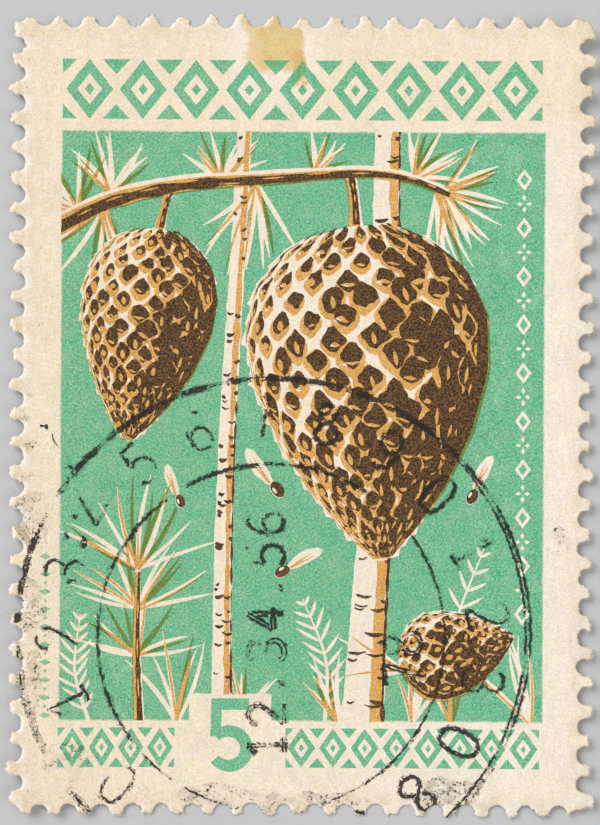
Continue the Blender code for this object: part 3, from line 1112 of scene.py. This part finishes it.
class Recipe:
    """A material's nodes, added one call at a time; each call gives the new node's output."""

    def __init__(self, name):
        self.material = bpy.data.materials.new(name)
        self.material.use_nodes = True
        self.tree = self.material.node_tree
        self.finish = self.tree.nodes["Principled BSDF"]

    def node(self, kind, inputs, out=0, **settings):
        made = self.tree.nodes.new("ShaderNode" + kind)
        for name, value in settings.items():
            setattr(made, name, value)
        for socket, value in inputs.items():
            self.put(made.inputs[socket], value)
        return made.outputs[out]

    def put(self, socket, value):
        if isinstance(value, bpy.types.NodeSocket):
            self.tree.links.new(value, socket)
        else:
            socket.default_value = value

    def math(self, operation, a, b, c=0.0):
        return self.node("Math", {0: a, 1: b, 2: c}, operation=operation)

    def times(self, a, b):
        return self.math("MULTIPLY", a, b)

    def vector(self, operation, a, b=(0.0, 0.0, 0.0), out=0):
        return self.node("VectorMath", {0: a, 1: b}, out, operation=operation)

    def scaled(self, value, amount):
        return self.node("VectorMath", {0: value, 3: amount}, operation="SCALE")

    def plan(self):
        """The place on the sheet, in millimetres."""
        return self.scaled(self.node("TexCoord", {}, 3), 1000.0)

    def axis(self, place, out):
        return self.node("SeparateXYZ", {0: place}, out)

    def noise(self, place, scale, detail=2.0, rough=0.5, lift=0.0, out=0):
        """Noise that a lift makes unlike the others of its scale."""
        if lift:
            place = self.vector("ADD", place, (0, 0, lift))
        inputs = {"Vector": place, "Scale": scale, "Detail": detail, "Roughness": rough}
        return self.node("TexNoise", inputs, out)

    def fit(self, value, low, high, to_low=0.0, to_high=1.0):
        return self.node("MapRange", {0: value, 1: low, 2: high, 3: to_low, 4: to_high}, clamp=True)

    def mix(self, amount, a, b, blend="MIX"):
        return self.node("Mix", {0: amount, 6: a, 7: b}, 2, data_type="RGBA", blend_type=blend)

    def filtered(self, colour, tint):
        return self.mix(1.0, colour, tint, "MULTIPLY")

    def attribute(self, name):
        return self.node("Attribute", {}, 2, attribute_name=name)

    def bump(self, height, strength, distance):
        normal = self.node("Bump", {"Height": height, "Strength": strength, "Distance": distance})
        self.put(self.finish.inputs["Normal"], normal)

    def surface(self, colour, roughness):
        self.put(self.finish.inputs["Base Color"], colour)
        self.put(self.finish.inputs["Roughness"], roughness)
        self.finish.inputs["IOR"].default_value = 1.35
        return self.material


def filter_of(ink):
    """What a see-through ink lets pass of the paper's colour."""
    return tuple(a / b for a, b in zip(ink, PAPER_WARM))


def old_paper(recipe, place):
    """Aged paper's colour: warm to the left and along the top, with its mottle, fibres, grain and specks."""
    x, y = recipe.axis(place, 0), recipe.axis(place, 1)
    cool = recipe.times(recipe.fit(x, -12.0, 12.0), recipe.fit(y, 14.8, 12.6, 0.12, 1.0))
    tone = recipe.mix(cool, PAPER_WARM, PAPER_COOL)
    mottle = recipe.fit(recipe.noise(place, 0.55, 3.0), 0.35, 0.65, 0.965, 1.02)
    cloud = recipe.fit(recipe.noise(place, 2.6, 3.0, 0.6, 5.0), 0.3, 0.7, 0.955, 1.025)
    grain = recipe.fit(recipe.noise(place, 9.5, 2.0, 0.7, 9.0), 0.30, 0.70, 0.88, 1.07)
    streaked = recipe.vector("MULTIPLY", place, (5.0, 0.9, 1.0))
    streaks = recipe.fit(recipe.noise(streaked, 1.0, 4.0, 0.6, 25.0), 0.32, 0.68, 0.955, 1.03)
    tone = recipe.scaled(tone, recipe.times(recipe.times(mottle, cloud), recipe.times(grain, streaks)))
    hue = recipe.fit(recipe.noise(place, 3.0, 4.0, 0.8, 15.0), 0.38, 0.62)
    tone = recipe.filtered(tone, recipe.mix(hue, YELLOWER, PINKER))
    specks = recipe.fit(recipe.noise(place, 3.1, 4.0, 0.7, 21.0), 0.69, 0.73)
    return recipe.mix(recipe.times(specks, 0.7), tone, PAPER_SPECK)


def stained(recipe, place, colour):
    """A stain that soaked in from the top edge, darker where it dried last."""
    warp = recipe.noise(place, 1.3, 6.0, 0.62, out=1)
    moved = recipe.node("VectorMath", {0: warp, 1: (1.7, 1.7, 0.0), 2: place}, operation="MULTIPLY_ADD")

    def distance(x, y, half_across, half_up):
        """From a blunt oval's middle (0) past its edge (1)."""
        offset = recipe.vector("SUBTRACT", moved, (x, y, 0.0))
        shaped = recipe.vector("MULTIPLY", offset, (1 / half_across, 1 / half_up, 0.0))
        return recipe.vector("LENGTH", recipe.vector("MULTIPLY", shaped, shaped), out=1)

    body, lobe = distance(-0.66, 20.0, 1.46, 2.55), distance(0.66, 17.85, 0.28, 0.85)
    stain = recipe.math("MAXIMUM", recipe.fit(body, 1.10, 0.80), recipe.fit(lobe, 1.3, 0.5))
    stain = recipe.times(stain, recipe.fit(recipe.axis(place, 0), -3.3, -2.0, 0.35, 1.0))
    washed = recipe.math("SUBTRACT", recipe.fit(body, 3.5, 1.0), stain)
    colour = recipe.mix(recipe.times(washed, 0.4), colour, PAPER_WHITE)
    depth = recipe.fit(recipe.noise(place, 2.4, 5.0, 0.7, 3.0), 0.3, 0.6, 0.7, 1.0)
    colour = recipe.mix(recipe.times(stain, depth), colour, STAIN)
    spots = recipe.fit(recipe.noise(place, 1.5, 3.0, 0.6, 7.0), 0.54, 0.70, 0.0, 0.7)
    spots = recipe.math("MAXIMUM", spots, recipe.fit(lobe, 1.0, 0.0, 0.0, 0.55))
    return recipe.mix(recipe.times(stain, spots), colour, STAIN_SPOT)


def edge_wear_and_painted_light(recipe, place, colour):
    """A rim a little darker towards the edge, teeth that gum has yellowed, painted shade on the torn edge
    towards the right, and a painted highlight on edges that face the left.
    """
    margin = recipe.attribute("margin")
    # Darker towards the edge, all round the sheet.
    towards_rim = recipe.fit(margin, 0.15, 0.75)
    colour = recipe.mix(towards_rim, colour, recipe.filtered(colour, RIM_DARKER))
    yellow = recipe.fit(recipe.noise(place, 0.8, 2.0, 0.5, 17.0), 0.50, 0.62, 0.0, 0.30)
    colour = recipe.mix(recipe.times(yellow, recipe.fit(margin, 0.35, 0.8)), colour, YELLOWED)
    # Painted highlight: torn edges that face the left are whitened as if the light caught them.
    fuzz = recipe.fit(recipe.noise(place, 11.0, 2.0), 0.35, 0.65, 0.5, 1.0)
    painted_highlight = recipe.fit(recipe.attribute("painted_edge_highlight"), 0.22, 0.52)
    colour = recipe.mix(recipe.times(painted_highlight, fuzz), colour, PAPER_WHITE)
    # Painted shade: the torn edge darkens to brown towards the right, away from the light.
    torn = recipe.fit(recipe.attribute("torn_edge"), 0.70, 1.0)
    painted_right_shade = recipe.times(torn, recipe.fit(recipe.axis(place, 0), 8.0, 13.0, 0.0, 0.55))
    return recipe.mix(painted_right_shade, colour, RIGHT_EDGE_SHADE)


def printed_paper():
    recipe = Recipe("printed_paper")
    place = recipe.plan()
    colour = edge_wear_and_painted_light(recipe, place, stained(recipe, place, old_paper(recipe, place)))

    # The inks: specked with paper, and each let through to the ones below it.
    def coverage(name, scale, bare, lift):
        specks = recipe.noise(place, scale, 2.0, 0.7, lift)
        thin = recipe.fit(specks, 0.42, 0.64, 1.0, bare)
        cloudy = recipe.fit(recipe.noise(place, 1.0, 5.0, 0.7, lift + 7), 0.36, 0.56, 0.90, 1.0)
        return recipe.times(recipe.times(recipe.attribute(name), thin), cloudy)

    uneven = recipe.fit(recipe.axis(place, 0), -12.0, 6.0, 0.975, 1.0)
    green = recipe.times(coverage("green_ink", 11.5, 0.78, 31.0), uneven)
    ochre = coverage("ochre_ink", 11.5, 0.80, 41.0)
    over_paper = recipe.filtered(colour, filter_of(GREEN))
    colour = recipe.mix(green, colour, recipe.mix(0.75, over_paper, GREEN))
    colour = recipe.mix(ochre, colour, recipe.filtered(colour, filter_of(OCHRE)))
    brown = recipe.attribute("brown_ink")
    earth = recipe.fit(recipe.noise(place, 11.0, 2.0, 0.7, 51.0), 0.42, 0.64)
    colour = recipe.mix(recipe.times(brown, 0.995), colour, recipe.mix(earth, BROWN, LIGHT_BROWN))

    # The press's grain, strongest in green and ochre, and weakest on bare paper.
    inked = recipe.math("MAXIMUM", green, recipe.math("MAXIMUM", ochre, brown))
    grain = recipe.math("SUBTRACT", recipe.noise(place, 12.5, 2.0, 0.7, 91.0), 0.5)
    strength = recipe.math("MULTIPLY_ADD", brown, -0.8, recipe.fit(inked, 0.0, 1.0, 0.65, 2.3))
    colour = recipe.scaled(colour, recipe.math("MULTIPLY_ADD", grain, strength, 1.0))

    # The cancelling ink: solid where the amount is high, scattered dots and a grey film where it is low.
    black = recipe.attribute("black_ink")
    film = recipe.times(recipe.fit(black, 0.02, 0.5, 0.0, 0.6),
                        recipe.fit(recipe.noise(place, 2.2, 3.0, 0.6, 67.0), 0.42, 0.62))
    colour = recipe.mix(film, colour, recipe.filtered(colour, filter_of(SMUDGE)))
    dots = recipe.math("MULTIPLY_ADD", black, 0.345, recipe.noise(place, 6.5, 3.0, 0.75, 61.0))
    black = recipe.times(recipe.fit(black, 0.0, 0.3, 0.7, 1.0), recipe.fit(dots, 0.67, 0.73))
    colour = recipe.mix(recipe.times(black, 0.95), colour, BLACK)

    hills = recipe.times(recipe.noise(place, 1.4, 2.0), 1.4)
    relief = recipe.math("ADD", recipe.noise(place, 6.0, 3.0, 0.6, 13.0), hills)
    recipe.bump(relief, 0.35, 0.015 * MM)
    return recipe.surface(colour, recipe.fit(inked, 0.0, 1.0, 0.86, 0.68))


def gummed_back():
    """Aged paper with patches of gum, which the print's green shows through a little."""
    recipe = Recipe("gummed_back")
    place = recipe.plan()
    left, low, right, top = PANEL
    centred = recipe.vector("SUBTRACT", place, ((left + right) / 2, (low + top) / 2, 0))
    sized = recipe.vector("MULTIPLY", centred, (2 / (right - left), 2 / (top - low), 0))
    far = recipe.vector("ABSOLUTE", sized)
    panel = recipe.fit(recipe.math("MAXIMUM", recipe.axis(far, 0), recipe.axis(far, 1)), 1.012, 0.985)
    show = recipe.fit(recipe.noise(place, 0.35, 4.0, 0.6, 71.0), 0.38, 0.62, 0.22, 0.42)
    colour = recipe.mix(recipe.times(show, panel), old_paper(recipe, place), SHOW_THROUGH)
    gum = recipe.fit(recipe.noise(place, 0.8, 4.0, 0.55, 81.0), 0.50, 0.58)
    colour = recipe.mix(recipe.times(gum, 0.35), colour, GUM)
    recipe.bump(recipe.noise(place, 5.0, 4.0, 0.65), 0.5, 0.02 * MM)
    return recipe.surface(colour, recipe.fit(gum, 0.0, 1.0, 0.86, 0.42))


def torn_paper(name):
    recipe = Recipe(name)
    place = recipe.plan()
    tone = recipe.mix(recipe.noise(place, 7.0, 3.0), *TORN_PAPER)
    recipe.bump(recipe.noise(place, 20.0, 3.0), 0.6, 0.01 * MM)
    return recipe.surface(tone, 0.92)


def floor_finish():
    recipe = Recipe("pale_floor")
    return recipe.surface(recipe.mix(recipe.noise(recipe.plan(), 0.06, 2.0), *FLOOR), 0.9)


# ---------------------------------------------------------------------------------------------------
# The studio.

FLOOR_HALF = 0.6
FLOOR_GAP = 0.02 * MM
LENS = 100
SENSOR = 36
VIEW_HEIGHT = 40.1
CLIP_START, CLIP_END = 0.005, 5

# Each light's name, place, size and power.
STUDIO_LIGHTS = (("window", (-0.44, 0.40, 0.60), 0.5, 4.88), ("fill", (0.50, -0.20, 0.70), 0.8, 1.78))
SKY_COLOUR = (1.0, 0.99, 0.97, 1)
SKY_STRENGTH = 0.425


def make_floor():
    bm = bmesh.new()
    bmesh.ops.create_grid(bm, x_segments=1, y_segments=1, size=FLOOR_HALF)
    bmesh.ops.translate(bm, verts=bm.verts, vec=(0, 0, -FLOOR_GAP))
    mesh = bpy.data.meshes.new("floor")
    bm.to_mesh(mesh)
    bm.free()
    mesh.materials.append(floor_finish())
    new_object("floor", mesh)


def make_camera():
    """Straight above the sheet, a hair askew and off its middle."""
    data = bpy.data.cameras.new("camera")
    data.lens, data.sensor_width = LENS, SENSOR
    data.clip_start, data.clip_end = CLIP_START, CLIP_END
    camera = new_object("camera", data)
    camera.location = (-0.085 * MM, 0.146 * MM, VIEW_HEIGHT * MM * LENS / SENSOR + THICKNESS * MM)
    camera.rotation_euler = (0, 0, math.radians(0.33))
    bpy.context.scene.camera = camera


def make_light(name, place, size, energy):
    data = bpy.data.lights.new(name, "AREA")
    data.shape = "SQUARE"
    data.size, data.energy = size, energy
    lamp = new_object(name, data)
    lamp.location = place
    lamp.rotation_euler = (-Vector(place)).to_track_quat("-Z", "Y").to_euler()


def make_studio():
    make_floor()
    make_camera()
    for light in STUDIO_LIGHTS:
        make_light(*light)
    world = bpy.data.worlds.new("studio")
    world.use_nodes = True
    sky = world.node_tree.nodes["Background"].inputs
    sky["Color"].default_value, sky["Strength"].default_value = SKY_COLOUR, SKY_STRENGTH
    scene = bpy.context.scene
    scene.world = world
    scene.view_settings.view_transform = "Standard"
    scene.view_settings.look = "None"


plates = Plates()
draw_panel(plates)
draw_picture(plates)
draw_margins(plates)
draw_postmark(plates)

edge = punched_edge()
sheet = make_sheet(plates, edge)
for finish in (printed_paper(), gummed_back(), torn_paper("torn_rim")):
    sheet.data.materials.append(finish)
fibres = make_fibres(edge)
fibres.data.materials.append(torn_paper("loose_fibres"))
for piece in (sheet, fibres):
    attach(piece, "root")
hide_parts("stamp_sheet")
make_studio()
